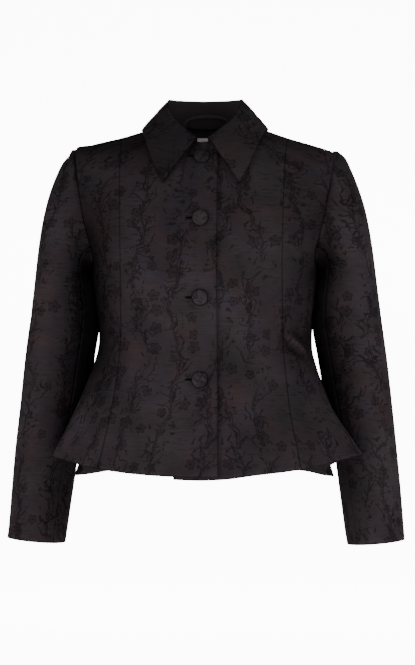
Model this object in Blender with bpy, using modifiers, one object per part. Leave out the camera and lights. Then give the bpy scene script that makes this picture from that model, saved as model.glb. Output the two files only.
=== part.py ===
"""Brocade blazer with a flared peplum, hollow and filled out as when it is worn.

Sizes are in millimetres and become metres where a mesh is made. The blazer faces -Y. Its centre
front and centre back lie on X = 0, the wearer's left is at +X, and the origin is in the middle of
the neck at the height of the shoulders. The body is one smooth outer surface, read by an angle
round the body (0 at the front, 90 at the side, 180 at the back) and a level. Each panel is a
stretch of that surface between two seams, with a wall on its inner side.
"""

import math

import bmesh
import bpy
import numpy as np
from mathutils import Vector

NAME = "brocade_blazer"
MM = 0.001

# Cloth
WALL = 1.8
SEAM_INSET = 0.16
SLEEVE_SEAM_INSET = 0.3
LAYER_GAP = 0.35

# Levels are heights down to the waist. Below it they count along the peplum.
NECK_POINT = 7.0
SHOULDER_TIP = -34.0
UNDERARM = -210.0
WAIST = -318.0
PEPLUM = 200.0
HEM = WAIST - PEPLUM
FLARE_POWER = 1.25

# Sections of the body: height, half width, depth in front, depth behind, squareness
RINGS = (
    (7, 62, 32, 56, 2.10),
    (-10, 119, 48, 72, 2.20),
    (-34, 200, 70, 88, 2.35),
    (-60, 203, 86, 99, 2.55),
    (-100, 199, 104, 110, 2.70),
    (-150, 190, 120, 114, 2.60),
    (-210, 171, 130, 112, 2.40),
    (-262, 165, 126, 106, 2.35),
    (-318, 161, 113, 102, 2.30),
    (-350, 161, 113, 102, 2.30),
)

# Hem of the peplum, with its flutes: angle round the body, x, y, z
HEM_LINE = (
    (0, 0, -174, -524),
    (22, 78, -172, -520),
    (45, 148, -150, -513),
    (62, 204, -98, -504),
    (75, 233, -42, -500),
    (83, 214, -16, -507),
    (90, 196, 6, -514),
    (99, 184, 32, -524),
    (108, 188, 64, -535),
    (118, 203, 98, -541),
    (128, 178, 126, -540),
    (137, 158, 152, -536),
    (152, 92, 174, -533),
    (180, 0, 178, -531),
)
BACK_FLUTE_ANGLE = 128
FRONT_CORNER_ANGLE = 75

# Princess seams: level, distance from the middle of the body
SHOULDER_SEAM_MIDDLE = 127.0
FRONT_PRINCESS = ((-518, 149), (-418, 131), (-318, 122), (-210, 121), (-100, 123), (-34, 125.5))
BACK_PRINCESS = ((-518, 122), (-418, 106), (-318, 96), (-210, 104), (-100, 115), (-34, 124))

# Armholes, from under the arm to the tip of the shoulder: level, distance from the middle
FRONT_ARMHOLE = ((-207, 168.5), (-198, 167.5), (-178, 173), (-150, 180), (-100, 189.5), (-60, 196.5))
BACK_ARMHOLE = ((-207, 169.5), (-198, 169.5), (-178, 175), (-150, 183), (-100, 192), (-60, 198))

# Neckline, an oval in plan
NECK_HALF_WIDTH = 62.0
NECK_FRONT = 65.0
NECK_BACK = 60.0

# Front closure: level, reach past the middle of the front
CLOSURE_TOP = -28
LAP_EDGE = ((-518, 29), (-318, 25), (CLOSURE_TOP, 24))
UNDERLAP_EDGE = ((-518, 36), (-318, 32), (CLOSURE_TOP, 28))
UNDERLAP_SINK = WALL + 2.0
UNDERLAP_FULL_TO = 36.0
UNDERLAP_GONE_AT = 90.0
UNDERLAP_HEM_DROP = 3.0

# Steps of the panels
ROWS_BELOW = 14
ROWS_ABOVE = 11
NECKLINE_ROWS = 6
EDGE_ROWS = ROWS_BELOW + ROWS_ABOVE - NECKLINE_ROWS
PRINCESS_SPLIT = -228.0
ARMHOLE_SAMPLES = 60
PANEL_COLUMNS = {"front": 10, "side_front": 9, "side_back": 9, "back": 8}

# Sleeve sections: outer edge x and z, inner edge x and z, half depth, middle y, own shape
SLEEVE = (
    (207, -32.5, 173.0, -213, 55.0, 0, 0.35),
    (224, -55, 175.5, -217, 58.0, 0, 0.75),
    (238, -88, 177.0, -221, 60.0, 1, 1.0),
    (249, -128, 177.5, -226, 60.5, 2, 1.0),
    (257, -172, 176.5, -234, 60.5, 3, 1.0),
    (263, -222, 173.5, -248, 60.0, 4, 1.0),
    (268, -262, 169.5, -270, 58.5, 5, 1.0),
    (272, -298, 167.0, -299, 57.0, 6, 1.0),
    (278, -341, 173.5, -343, 55.5, 9, 1.0),
    (282.5, -380, 180.5, -383, 53.5, 14, 1.0),
    (286.5, -420, 187.0, -425, 51.5, 20, 1.0),
    (291, -465, 193.5, -471, 49.5, 26, 1.0),
    (295, -512, 200.0, -519, 47.5, 28, 1.0),
    (299, -555, 206.0, -563, 46.0, 26, 1.0),
    (302.5, -595, 212.0, -603, 44.5, 23, 1.0),
    (305.5, -631, 217.0, -639, 43.5, 20, 1.0),
)
FRONT_SLEEVE_SEAM = 8
BACK_SLEEVE_SEAM = 15

# Collar, from the middle of the front to the middle of the back:
# share, neck angle, roll line x, y and z, outer edge x and y in plan
COLLAR = (
    (0.00, 8, 9, -68, -19, 57, -99.5),
    (0.12, 26, 24, -57, -7, 72, -86),
    (0.26, 48, 42, -42, 10, 83, -68),
    (0.42, 72, 55, -22, 32, 92, -40),
    (0.56, 92, 59, 2, 45, 97, 0),
    (0.70, 115, 55, 30, 48, 88, 42),
    (0.85, 145, 34, 54, 49, 52, 70),
    (1.00, 180, 0, 63, 49, 0, 79),
)
COLLAR_WALL = 2.0
COLLAR_STATIONS = 14
COLLAR_LIFT = 1.5
COLLAR_FOOT_SET_IN = 0.8
COLLAR_WIDENING = 1.15
COLLAR_REST = 1.6
ROLL_HALF_GAP = 2.6
ROLL_DROP = 3.2
FALL_BULGE = 5.0
FALL_STEPS = (0.3, 0.65)

# Top of the collar's stand: height over the neck point, half width and depth behind
STAND_RISE = 42.0
STAND_HALF_WIDTH = 57.0
STAND_BACK = 61.0

# Inside of the back neck
FACING_WALL = 1.0
FACING_GAP = 2.2
FACING_HALF_WIDTH = 86.0
FACING_BACK = 86.0
FACING_TOP_SET = 2.0
FACING_TURN = 98.0
FACING_STEPS = 18
FACING_COLUMNS = 5
LABEL_HALF_WIDTH = 22.0
LABEL_TOP = -4.0
LABEL_BOTTOM = -21.0
LABEL_WALL = 0.6
LABEL_STEPS = 4
LOOP_HALF_SPAN = 33.0
LOOP_FOOT = 8.0
LOOP_RISE = 15.0
LOOP_WIDTH = 5.0
LOOP_WALL = 1.2
LOOP_SET_IN = 3.8
LOOP_STEPS = 16
LOOP_ROUNDNESS = 0.8

# Buttons
BUTTON_HEIGHTS = (-50.0, -144.0, -261.0, -383.5)
BUTTON_RADIUS = 13.0
BUTTON_DOME = 4.6
BUTTON_RIM = 2.2
BUTTON_LIFT = 1.3
SHANK_RADIUS = 2.6
BUTTON_SIDES = 24
BUTTON_STEPS = 5
BUTTON_TUCK = 0.8
FRONT_DROP = WAIST - HEM_LINE[0][3]

BROCADE = ("brocade", (0.024, 0.020, 0.023), 0.55)
BROCADE_SLEEVE = ("brocade_sleeve", (0.019, 0.016, 0.018), 0.55)
FACING_CLOTH = ("facing", (0.010, 0.008, 0.009), 0.45)
LABEL_CLOTH = ("label", (0.72, 0.58, 0.55), 0.60)


def clear_scene():
    for item in list(bpy.context.scene.objects):
        bpy.data.objects.remove(item, do_unlink=True)


def make_material(name, colour, roughness):
    material = bpy.data.materials.get(name) or bpy.data.materials.new(name)
    material.use_nodes = True
    shader = material.node_tree.nodes["Principled BSDF"]
    shader.inputs["Base Color"].default_value = (*colour, 1.0)
    shader.inputs["Roughness"].default_value = roughness
    shader.inputs["Metallic"].default_value = 0.0
    return material


class Table:
    """A short table whose columns are read smoothly at any value of its first column."""

    def __init__(self, rows):
        data = np.array(sorted(rows), dtype=float)
        self.keys = data[:, 0]
        self.values = data[:, 1:]
        steps = np.diff(self.values, axis=0) / np.diff(self.keys)[:, None]
        self.slopes = np.zeros_like(self.values)
        self.slopes[0] = steps[0]
        self.slopes[-1] = steps[-1]
        product = steps[:-1] * steps[1:]
        total = np.where(product > 0, steps[:-1] + steps[1:], 1.0)
        self.slopes[1:-1] = np.where(product > 0, 2 * product / total, 0.0)

    def at(self, key):
        if key <= self.keys[0]:
            return self.values[0] + self.slopes[0] * (key - self.keys[0])
        if key >= self.keys[-1]:
            return self.values[-1] + self.slopes[-1] * (key - self.keys[-1])
        i = int(np.searchsorted(self.keys, key)) - 1
        width = self.keys[i + 1] - self.keys[i]
        t = (key - self.keys[i]) / width
        start = self.values[i] * (1 + 2 * t) * (1 - t) ** 2
        end = self.values[i + 1] * t * t * (3 - 2 * t)
        leave = self.slopes[i] * width * t * (1 - t) ** 2
        arrive = self.slopes[i + 1] * width * t * t * (t - 1)
        return start + end + leave + arrive


RING_TABLE = Table(RINGS)
HEM_TABLE = Table(HEM_LINE)
COLLAR_TABLE = Table(COLLAR)


def root_of(function, low, high):
    """The value between low and high where the function crosses zero."""
    sign = math.copysign(1.0, function(high))
    for _ in range(48):
        middle = (low + high) / 2
        if function(middle) * sign > 0:
            high = middle
        else:
            low = middle
    return (low + high) / 2


def unit(vector):
    return vector / np.linalg.norm(vector)


def ease(value):
    value = min(max(value, 0.0), 1.0)
    return value * value * (3 - 2 * value)


def ring_point(angle, level):
    half_width, front, back, squareness = RING_TABLE.at(level)
    sine = math.sin(math.radians(angle))
    cosine = math.cos(math.radians(angle))
    power = 2 / squareness
    x = math.copysign(abs(sine) ** power, sine) * half_width
    y = -math.copysign(abs(cosine) ** power, cosine) * (front if cosine > 0 else back)
    return np.array([x, y, level])


def body_point(angle, level):
    """A point of the blazer's outer surface."""
    if level >= WAIST:
        return ring_point(angle, level)
    share = (WAIST - level) / PEPLUM
    waist = ring_point(angle, WAIST)
    x, y, z = HEM_TABLE.at(abs(angle))
    hem = np.array([x * math.copysign(1.0, angle), y, z])
    point = waist + (hem - waist) * share ** FLARE_POWER
    point[2] = WAIST + (z - WAIST) * share
    return point


def body_normal(angle, level):
    across = body_point(angle + 0.5, level) - body_point(angle - 0.5, level)
    up = body_point(angle, level + 1.0) - body_point(angle, level - 1.0)
    return unit(np.cross(across, up))


def angle_at(level, x, behind=False):
    """The angle of the surface at a level and a distance from the middle of the body."""
    if behind:
        limits = (90 if level >= WAIST else BACK_FLUTE_ANGLE, 180)
    else:
        limits = (0, 90 if level >= WAIST else FRONT_CORNER_ANGLE)
    angle = root_of(lambda a: body_point(a, level)[0] - abs(x), *limits)
    return math.copysign(angle, x)


def roof_place(x, y):
    """The angle and level of the surface above a point of the plan, near the shoulders."""

    def outside(level):
        half_width, front, back, squareness = RING_TABLE.at(level)
        depth = front if y < 0 else back
        return (abs(x) / half_width) ** squareness + (abs(y) / depth) ** squareness - 1

    level = root_of(outside, -150.0, NECK_POINT + 3.0)
    half_width, front, back, squareness = RING_TABLE.at(level)
    side = (abs(x) / half_width) ** (squareness / 2)
    depth = (abs(y) / (front if y < 0 else back)) ** (squareness / 2)
    angle = math.degrees(math.atan2(side, -math.copysign(depth, y)))
    return math.copysign(angle, x) if x else angle, level


def neck_place(turn):
    """The neckline's angle and level. The turn is 0 in front, 90 at the shoulder, 180 behind."""
    x = NECK_HALF_WIDTH * math.sin(math.radians(turn))
    cosine = math.cos(math.radians(turn))
    y = -cosine * (NECK_FRONT if cosine > 0 else NECK_BACK)
    if abs(cosine) < 1e-6:
        return 90.0, NECK_POINT
    return roof_place(x, y)


def evenly(path, count, samples=240):
    """Places at equal distances along a path of (angle, level)."""
    places = np.array([path(i / samples) for i in range(samples + 1)])
    points = np.array([body_point(*place) for place in places])
    lengths = np.linalg.norm(np.diff(points, axis=0), axis=1)
    travelled = np.concatenate([[0.0], np.cumsum(lengths)])
    wanted = np.linspace(0.0, travelled[-1], count + 1)
    angles = np.interp(wanted, travelled, places[:, 0])
    levels = np.interp(wanted, travelled, places[:, 1])
    return np.column_stack([angles, levels])


def joined(lower, upper):
    return np.concatenate([lower, upper[1:]])


def shoulder_level(x):
    """The height of the shoulder seam at a distance from the middle."""
    return root_of(lambda level: RING_TABLE.at(level)[0] - x, SHOULDER_TIP, NECK_POINT)


def princess_seam(rows, behind):
    top = shoulder_level(SHOULDER_SEAM_MIDDLE)
    table = Table(rows + ((top, SHOULDER_SEAM_MIDDLE),))

    def place(level):
        if level >= top - 1e-6:
            return 90.0, top
        return angle_at(level, table.at(level)[0], behind), level

    lower = evenly(lambda t: place(HEM + (PRINCESS_SPLIT - HEM) * t), ROWS_BELOW)
    upper = evenly(lambda t: place(top - (top - PRINCESS_SPLIT) * (1 - t) ** 2), ROWS_ABOVE)
    return joined(lower, upper)


def side_and_armhole(rows, behind):
    table = Table(rows)
    lowest = rows[0][0]
    highest = rows[-1][0]
    inner = [(90.0, UNDERARM)]
    for level in np.linspace(lowest, highest, ARMHOLE_SAMPLES):
        inner.append((angle_at(level, table.at(level)[0], behind), level))
    inner.append((90.0, SHOULDER_TIP))
    inner = np.array(inner)

    def armhole(t):
        position = t * (len(inner) - 1)
        index = min(int(position), len(inner) - 2)
        return inner[index] + (inner[index + 1] - inner[index]) * (position - index)

    side = evenly(lambda t: (90.0, HEM + (UNDERARM - HEM) * t), ROWS_BELOW)
    return joined(side, evenly(armhole, ROWS_ABOVE))


def front_edge(rows):
    """The front's free edge, past the middle of the front, and the neckline to the shoulder."""
    table = Table(rows)
    reach = table.at(CLOSURE_TOP)[0]
    corner = -math.degrees(math.asin(reach / NECK_HALF_WIDTH))
    corner_level = neck_place(corner)[1]

    def edge(t):
        level = HEM + (corner_level - HEM) * t
        return angle_at(level, -table.at(level)[0]), level

    neckline = evenly(lambda t: neck_place(corner + (90 - corner) * t), NECKLINE_ROWS)
    return joined(evenly(edge, EDGE_ROWS), neckline)


def back_edge():
    top = neck_place(180)[1]
    middle = evenly(lambda t: (180.0, HEM + (top - HEM) * t), EDGE_ROWS)
    return joined(middle, evenly(lambda t: neck_place(180 - 90 * t), NECKLINE_ROWS))


def panel_walls(left, right, columns, depth=0.0, thickness=WALL, sink=None):
    """Outer and inner points of a stretch of the body's surface between two edges."""
    outer = np.zeros((len(left), columns + 1, 3))
    inner = np.zeros_like(outer)
    for row, (start, end) in enumerate(zip(left, right)):
        places = evenly(lambda t: start + (end - start) * t, columns, samples=4 * columns)
        for column, (angle, level) in enumerate(places):
            point = body_point(angle, level)
            normal = body_normal(angle, level)
            lower = depth
            if sink:
                share = sink(point[0])
                lower += UNDERLAP_SINK * share
                point[2] -= UNDERLAP_HEM_DROP * share * max(WAIST - level, 0.0) / PEPLUM
            outer[row, column] = point - normal * lower
            inner[row, column] = point - normal * (lower + thickness)
    return outer, inner


def pull(edge, inside, inset):
    """The step that draws a seam's points square to the seam, towards the points inside it."""
    tangents = np.gradient(edge, axis=0)
    tangents /= np.linalg.norm(tangents, axis=1, keepdims=True)
    step = inside - edge
    step -= tangents * (step * tangents).sum(axis=1, keepdims=True)
    return step / np.linalg.norm(step, axis=1, keepdims=True) * inset


def inset_edges(grid, first=True, last=True, top=True, inset=SEAM_INSET):
    """Draws the seams of a grid of points back by half of the seam gap."""
    moved = grid.copy()
    if first:
        moved[:, 0] += pull(grid[:, 0], grid[:, 1], inset)
    if last:
        moved[:, -1] += pull(grid[:, -1], grid[:, -2], inset)
    if top:
        moved[-1] += pull(grid[-1], grid[-2], inset)
    return moved


def link(item, collection, spec):
    item.data.materials.append(make_material(*spec))
    collection.objects.link(item)
    return item


def make_shell(name, outer, inner, collection, spec, mirrored=False):
    """One closed wall, lofted through a grid of outer points and a grid of inner points."""
    side = np.array([-1.0, 1.0, 1.0]) if mirrored else np.ones(3)
    rows, columns = outer.shape[:2]
    bm = bmesh.new()
    faces = []
    layers = []
    for grid in (outer, inner):
        layers.append([[bm.verts.new(point * side * MM) for point in row] for row in grid])
    for layer in layers:
        for row in range(rows - 1):
            for column in range(columns - 1):
                low = layer[row]
                high = layer[row + 1]
                faces.append((low[column], low[column + 1], high[column + 1], high[column]))
    rim = [(0, column) for column in range(columns)]
    rim += [(row, columns - 1) for row in range(1, rows)]
    rim += [(rows - 1, column) for column in range(columns - 2, -1, -1)]
    rim += [(row, 0) for row in range(rows - 2, 0, -1)]
    for start, end in zip(rim, rim[1:] + rim[:1]):
        corners = [layers[0][start[0]][start[1]], layers[0][end[0]][end[1]]]
        corners += [layers[1][end[0]][end[1]], layers[1][start[0]][start[1]]]
        faces.append(corners)
    for corners in faces:
        bm.faces.new(corners).smooth = True
    bmesh.ops.recalc_face_normals(bm, faces=bm.faces)
    mesh = bpy.data.meshes.new(name)
    bm.to_mesh(mesh)
    bm.free()
    mesh.set_sharp_from_angle(angle=math.radians(50))
    return link(bpy.data.objects.new(name, mesh), collection, spec)


def add_body(collection):
    princess_front = princess_seam(FRONT_PRINCESS, behind=False)
    princess_back = princess_seam(BACK_PRINCESS, behind=True)
    side_front = side_and_armhole(FRONT_ARMHOLE, behind=False)
    side_back = side_and_armhole(BACK_ARMHOLE, behind=True)

    def under(x):
        return 1 - ease((x - UNDERLAP_FULL_TO) / (UNDERLAP_GONE_AT - UNDERLAP_FULL_TO))

    panels = {
        "front": (front_edge(LAP_EDGE), princess_front),
        "side_front": (princess_front, side_front),
        "side_back": (side_back, princess_back),
        "back": (princess_back, back_edge()),
    }
    for piece, (left, right) in panels.items():
        for suffix, mirrored in (("right", True), ("left", False)):
            sink = None
            if piece == "front" and not mirrored:
                left = front_edge(UNDERLAP_EDGE)
                sink = under
            walls = panel_walls(left, right, PANEL_COLUMNS[piece], sink=sink)
            outer, inner = (inset_edges(wall, first=piece != "front") for wall in walls)
            make_shell(f"{piece}_{suffix}", outer, inner, collection, BROCADE, mirrored)
    return side_front, side_back


def sleeve_rings(side_front, side_back):
    """The sleeve's sections, from the armhole to the cuff, each a ring of points."""
    front = [body_point(*place) for place in side_front[ROWS_BELOW:][::-1]]
    back = [body_point(*place) for place in side_back[ROWS_BELOW:]]
    armhole = np.array(front + back[1:-1])
    half = ROWS_ABOVE
    top = armhole[0]
    bottom = armhole[half]
    axis = (top - bottom) / 2
    middle = (top + bottom) / 2
    away = unit(np.cross(axis, np.array([0.0, -1.0, 0.0])))
    local = np.array([
        ((p - middle) @ axis / (axis @ axis), -(p - middle)[1], (p - middle) @ away) for p in armhole
    ])
    armhole_depth = np.abs(local[:, 1]).max()
    rings = [armhole + np.array([LAYER_GAP, 0.0, 0.0])]
    for outer_x, outer_z, inner_x, inner_z, depth, middle_y, own in SLEEVE:
        outer = np.array([outer_x, middle_y, outer_z])
        inner = np.array([inner_x, middle_y, inner_z])
        ring = []
        for index, (along, side, off) in enumerate(local):
            turn = math.pi * index / half
            along = along * (1 - own) + math.cos(turn) * own
            side = side / armhole_depth * (1 - own) + math.sin(turn) * own
            point = (outer + inner) / 2 + (outer - inner) / 2 * along
            point = point + np.array([0.0, -depth, 0.0]) * side + away * off * (1 - own)
            ring.append(point)
        rings.append(np.array(ring))
    return np.array(rings)


def tube_normals(rings):
    """Outward directions at the points of a tube, closed round and open at its ends."""
    round_step = np.roll(rings, -1, axis=1) - np.roll(rings, 1, axis=1)
    along = np.gradient(rings, axis=0)
    normals = np.cross(along, round_step)
    normals /= np.linalg.norm(normals, axis=2, keepdims=True)
    middle = rings.mean(axis=1, keepdims=True)
    if ((rings - middle) * normals).sum() < 0:
        normals = -normals
    inward = middle[0] - rings[0]
    normals[0] = -inward / np.linalg.norm(inward, axis=1, keepdims=True)
    return normals


def add_sleeves(collection, side_front, side_back):
    rings = sleeve_rings(side_front, side_back)
    inner_rings = rings - tube_normals(rings) * WALL
    count = rings.shape[1]
    stretches = {
        "under_sleeve": range(FRONT_SLEEVE_SEAM, BACK_SLEEVE_SEAM + 1),
        "top_sleeve": range(BACK_SLEEVE_SEAM, count + FRONT_SLEEVE_SEAM + 1),
    }
    for piece, stretch in stretches.items():
        columns = [index % count for index in stretch]
        walls = (rings[:, columns], inner_rings[:, columns])
        outer, inner = (inset_edges(w, top=False, inset=SLEEVE_SEAM_INSET) for w in walls)
        for suffix, mirrored in (("right", True), ("left", False)):
            name = f"{piece}_{suffix}"
            make_shell(name, outer, inner, collection, BROCADE_SLEEVE, mirrored)


def collar_section(share):
    """Middle line of the collar's wall at one station: up the stand, over the roll, down the fall."""
    turn, roll_x, roll_y, roll_z, edge_x, edge_y = COLLAR_TABLE.at(share)
    neck = body_point(*neck_place(turn))
    roll = np.array([roll_x, roll_y, roll_z])
    place = roof_place(edge_x, edge_y)
    edge = body_point(*place) + body_normal(*place) * (COLLAR_REST + COLLAR_WALL / 2)
    out = unit(np.array([roll_x * COLLAR_WIDENING, roll_y, 0.0]))
    drop = np.array([0.0, 0.0, -ROLL_DROP])
    foot = neck - out * COLLAR_FOOT_SET_IN + np.array([0.0, 0.0, COLLAR_LIFT])
    inside = roll - out * ROLL_HALF_GAP + drop
    outside = roll + out * ROLL_HALF_GAP + drop
    fall = edge - outside
    rise = unit(np.cross(np.cross(fall, out), fall))
    if rise @ out < 0:
        rise = -rise
    path = [foot, (foot + inside) / 2, inside, roll, outside]
    for part in FALL_STEPS:
        path.append(outside + fall * part + rise * FALL_BULGE * math.sin(math.pi * part))
    return path + [edge]


def add_collar(collection):
    half = [collar_section(i / COLLAR_STATIONS) for i in range(COLLAR_STATIONS + 1)]
    flip = np.array([-1.0, 1.0, 1.0])
    other = [[point * flip for point in path] for path in half[-2::-1]]
    middle = np.array(half + other)
    normals = np.cross(np.gradient(middle, axis=0), np.gradient(middle, axis=1))
    normals /= np.linalg.norm(normals, axis=2, keepdims=True)
    outer = middle + normals * COLLAR_WALL / 2
    inner = middle - normals * COLLAR_WALL / 2
    make_shell("collar", outer, inner, collection, BROCADE)


def add_back_neck(collection):
    """The facing inside the back neck, the bare label on it and the hanger loop above."""
    turns = np.linspace(FACING_TURN, 360 - FACING_TURN, FACING_STEPS + 1)

    def strip(half_width, back):
        places = []
        for turn in turns:
            x = half_width * math.sin(math.radians(turn))
            y = -back * math.cos(math.radians(turn))
            places.append(roof_place(x, y))
        return np.array([(angle % 360, level) for angle, level in places])

    top = strip(NECK_HALF_WIDTH + FACING_TOP_SET, NECK_BACK + FACING_TOP_SET)
    bottom = strip(FACING_HALF_WIDTH, FACING_BACK)
    depth = WALL + FACING_GAP
    outer, inner = panel_walls(top, bottom, FACING_COLUMNS, depth=depth, thickness=FACING_WALL)
    make_shell("back_neck_facing", outer, inner, collection, FACING_CLOTH)

    rows = []
    for level in np.linspace(LABEL_BOTTOM, LABEL_TOP, LABEL_STEPS):
        angle = angle_at(level, LABEL_HALF_WIDTH, behind=True)
        rows.append(((angle, level), (360 - angle, level)))
    left = np.array([row[0] for row in rows])
    right = np.array([row[1] for row in rows])
    depth += FACING_WALL + LAYER_GAP
    outer, inner = panel_walls(left, right, LABEL_STEPS, depth=depth, thickness=LABEL_WALL)
    make_shell("neck_label", outer, inner, collection, LABEL_CLOTH)

    strap = []
    for step in range(LOOP_STEPS + 1):
        across = -math.cos(math.pi * step / LOOP_STEPS)
        up = max(math.sin(math.pi * step / LOOP_STEPS), 0.0)
        height = LOOP_FOOT + LOOP_RISE * up ** LOOP_ROUNDNESS
        strap.append((LOOP_HALF_SPAN * across, height, unit(np.array([across, 0.0, up]))))
    outer = []
    inner = []
    for x, height, slope in strap:
        for layer, depth in ((outer, 0.0), (inner, LOOP_WALL)):
            row = []
            for reach in (0.0, LOOP_WIDTH):
                point = (x + slope[0] * reach, height + slope[2] * reach)
                row.append(stand_inside(*point, depth))
            layer.append(row)
    make_shell("hanger_loop", np.array(outer), np.array(inner), collection, FACING_CLOTH)


def stand_inside(x, z, depth):
    """A point just inside the collar's stand at the back of the neck."""
    share = min(max(z - NECK_POINT, 0.0) / STAND_RISE, 1.0)
    half_width = NECK_HALF_WIDTH + (STAND_HALF_WIDTH - NECK_HALF_WIDTH) * share
    back = NECK_BACK + (STAND_BACK - NECK_BACK) * share
    y = back * math.sqrt(1 - (x / half_width) ** 2)
    return np.array([x, y - LOOP_SET_IN - depth, z])


def add_buttons(collection):
    top = BUTTON_RIM + BUTTON_DOME
    profile = [(0.0, top)]
    for step in range(1, BUTTON_STEPS + 1):
        turn = math.pi / 2 * step / BUTTON_STEPS
        profile.append((BUTTON_RADIUS * math.sin(turn), BUTTON_RIM + BUTTON_DOME * math.cos(turn)))
    profile += [(BUTTON_RADIUS - BUTTON_TUCK, 0.0), (SHANK_RADIUS, 0.0)]
    profile += [(SHANK_RADIUS, LAYER_GAP - BUTTON_LIFT), (0.0, LAYER_GAP - BUTTON_LIFT)]
    mesh = bpy.data.meshes.new("button")
    points = [(radius * MM, 0.0, height * MM) for radius, height in profile]
    mesh.from_pydata(points, [(i, i + 1) for i in range(len(points) - 1)], [])
    mesh.materials.append(make_material(*BROCADE))
    for number, height in enumerate(BUTTON_HEIGHTS, 1):
        level = height if height >= WAIST else WAIST + (height - WAIST) * PEPLUM / FRONT_DROP
        button = bpy.data.objects.new(f"button_{number}", mesh)
        collection.objects.link(button)
        normal = body_normal(0.0, level)
        place = body_point(0.0, level) + normal * BUTTON_LIFT
        button.location = Vector(place) * MM
        button.rotation_mode = "QUATERNION"
        button.rotation_quaternion = Vector(normal).to_track_quat("Z", "Y")
        screw = button.modifiers.new("Turned", "SCREW")
        screw.axis = "Z"
        screw.steps = BUTTON_SIDES
        screw.render_steps = BUTTON_SIDES
        screw.use_merge_vertices = True
        screw.merge_threshold = 0.00001


def main():
    clear_scene()
    collection = bpy.data.collections.new(NAME)
    bpy.context.scene.collection.children.link(collection)
    side_front, side_back = add_body(collection)
    add_sleeves(collection, side_front, side_back)
    add_collar(collection)
    add_back_neck(collection)
    add_buttons(collection)


main()
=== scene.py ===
"""Looks of the brocade blazer: cloth shells on the panels' form, brocade, lining, buttons and light."""

import math

import bmesh
import bpy
import numpy as np
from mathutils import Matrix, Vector, noise
from mathutils.bvhtree import BVHTree
from mathutils.kdtree import KDTree


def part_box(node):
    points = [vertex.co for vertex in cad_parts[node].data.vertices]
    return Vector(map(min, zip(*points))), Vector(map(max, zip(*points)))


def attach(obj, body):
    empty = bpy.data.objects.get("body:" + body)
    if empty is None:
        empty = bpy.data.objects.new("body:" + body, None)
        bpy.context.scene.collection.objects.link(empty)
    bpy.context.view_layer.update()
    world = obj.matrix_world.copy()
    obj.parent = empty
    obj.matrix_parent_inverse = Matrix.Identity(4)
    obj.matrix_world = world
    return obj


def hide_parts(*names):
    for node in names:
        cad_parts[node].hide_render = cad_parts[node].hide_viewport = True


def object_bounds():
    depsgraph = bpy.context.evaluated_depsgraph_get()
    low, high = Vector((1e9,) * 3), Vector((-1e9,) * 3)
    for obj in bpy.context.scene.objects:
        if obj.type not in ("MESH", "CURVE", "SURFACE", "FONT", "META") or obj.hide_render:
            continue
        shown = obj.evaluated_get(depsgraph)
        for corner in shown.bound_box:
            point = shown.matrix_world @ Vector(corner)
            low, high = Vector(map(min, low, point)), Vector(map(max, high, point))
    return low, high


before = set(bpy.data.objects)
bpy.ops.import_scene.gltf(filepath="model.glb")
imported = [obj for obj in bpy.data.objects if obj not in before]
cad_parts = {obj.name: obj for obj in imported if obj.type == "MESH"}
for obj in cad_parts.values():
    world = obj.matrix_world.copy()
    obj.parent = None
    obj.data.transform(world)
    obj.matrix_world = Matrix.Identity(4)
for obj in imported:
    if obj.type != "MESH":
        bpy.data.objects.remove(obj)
cad_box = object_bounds()

MM = 0.001

# The photograph's view
PHOTO_HEIGHT = 665
MM_PER_PIXEL = 1.54
CAMERA_DISTANCE = 3.0
SENSOR_HEIGHT = 36.0
CAMERA_AZIMUTH = 3.5
VIEW_CENTRE = Vector((0.0035, 0.0, -0.3132))

# Stage, in metres
FLOOR_CLEARANCE = 0.62
SWEEP_START = -4.0
SWEEP_FLAT = 7.6
SWEEP_RADIUS = 1.2
SWEEP_LENGTH = 12.0
SWEEP_HALF_WIDTH = 2.6
BACKDROP_GLOW = 9.0
GLOW_FROM = 1.6
GLOW_FULL = 2.5
WORLD_STRENGTH = 0.38

# Softboxes: name, place, width and height in metres, power in watts
LIGHTS = (
    ("key", (-2.4, -1.9, -0.2), (1.0, 1.2), 32.0),
    ("fill", (2.5, -1.8, -0.2), (1.0, 1.6), 28.0),
    ("front", (0.4, -3.3, -0.7), (1.6, 1.2), 20.0),
)

# Cloth meshes, in metres and degrees
MERGE = 0.00002
SMOOTH_LEVELS = 2
FLAT_ANGLE = 40
SHAPE_ANGLE = 60
RIM_ANGLE = 62
COLLAR_RIM_ANGLE = 78
EDGE_FACE_REACH = 0.0012
FLAT_SEAM = 0.0014

# How far the edge faces are pushed out, in mm
EDGE_PUSH = 0.5

# Slow waves of the worn cloth: size in mm, seed, depth in mm
BODY_WAVES = (70.0, 3.0, 1.6)
SLEEVE_WAVES = (60.0, 7.0, 1.5)

# Creases fade over this distance from a seam, in metres, down to the least share
BODY_HOLD = 0.007
SLEEVE_HOLD = 0.012
LEAST_HOLD = 0.25

# Painted shade and painted light on the cloth, and a tone darker towards the top of the chest, as shares of
# its tone, and where they lie by height in mm
SIDE_SHADE = (0.8, 0.45)
SIDE_TURN = 90.0
SIDE_SPREAD = 34.0
SIDE_HEIGHTS = ((-440, -370, -160, -70), (0.0, 1.0, 1.0, 0.0))
CHEST_TONES = ((-260, -120), (1.0, 0.86))
SHOULDER_SHADE = 0.5
SHOULDER_HEIGHTS = ((-75, -30), (0.0, 1.0))
SLEEVE_SHADE = 0.72
SLEEVE_HEIGHTS = ((-640, -560, -480, -360, -200, -110), (0.35, 0.6, 0.85, 1.0, 1.0, 0.0))
# The left sleeve painted lighter as a whole
LEFT_SLEEVE_PAINTED_LIGHT = 1.18
INNER_FROM = 0.35
INNER_FADE = 0.95
RIGHT_COLLAR_PAINTED_SHADE = 0.74
TOP_BUTTON_PAINTED_SHADOW = 0.6
BUTTON_RIM_SHADOW_WIDTH = 1.6
BUTTON_RIM_SHADOW_TONE = 0.25

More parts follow.
